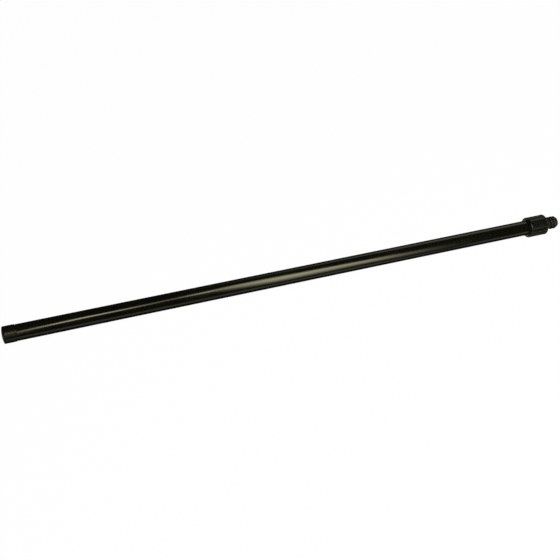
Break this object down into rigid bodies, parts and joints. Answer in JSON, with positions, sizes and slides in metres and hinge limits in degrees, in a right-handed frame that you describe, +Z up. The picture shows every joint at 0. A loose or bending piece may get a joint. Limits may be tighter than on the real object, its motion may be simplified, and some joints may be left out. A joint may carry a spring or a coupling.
{
  "type": "roller extension pole",
  "caption": "Black telescoping pole for paint rollers: steel tubes, a ribbed screw-lock collar near one end and a threaded tip that a roller frame screws onto.",
  "frame": {"origin": "centre of the butt cap's flat end face, on the pole's axis", "axes": "+X along the pole from the butt end to the threaded tip, +Z up with the pole lying level"},
  "size_m": [0.8395, 0.0308, 0.0306],
  "materials": {
    "tube_enamel": "semi-gloss black enamel on steel",
    "cap_plastic": "satin black plastic",
    "nut_plastic": "satin black plastic",
    "tip_plastic": "matte black glass-filled nylon",
    "nylon": "natural nylon",
    "zinc_steel": "zinc plated"
  },
  "bodies": {
    "handle": {"outer_tube": "tube_enamel", "butt_cap": "cap_plastic", "lock_sleeve": "nut_plastic", "sleeve_rivet_left": "zinc_steel", "sleeve_rivet_right": "zinc_steel", "grip_collet": "nylon"},
    "clamp": {"clamp_ring": "nylon"},
    "nut": {"lock_nut": "nut_plastic"},
    "slider": {"guide_ring": "nylon"},
    "inner_section": {"inner_tube": "tube_enamel", "guide_plug": "nylon", "stop_sleeve": "nylon", "plug_pin": "zinc_steel", "threaded_tip": "tip_plastic", "tip_pin": "zinc_steel"}
  },
  "joints": [
    {"name": "clamp_travel", "type": "slide", "parent": "handle", "child": "clamp", "axis": [1, 0, 0], "range_m": [0, 0.0015]},
    {"name": "lock_twist", "type": "hinge", "parent": "clamp", "child": "nut", "pos_m": [0.8022, 0, 0], "axis": [1, 0, 0], "range_deg": [0, 180]},
    {"name": "reach", "type": "slide", "parent": "handle", "child": "slider", "axis": [1, 0, 0], "range_m": [0, 0.6672]},
    {"name": "inner_spin", "type": "hinge", "parent": "slider", "child": "inner_section", "pos_m": [0.062, 0, 0], "axis": [1, 0, 0], "continuous": true}
  ],
  "couplings": [
    {"joint": "lock_twist", "follows": "clamp_travel", "rad_per_m": 2094.4}
  ]
}
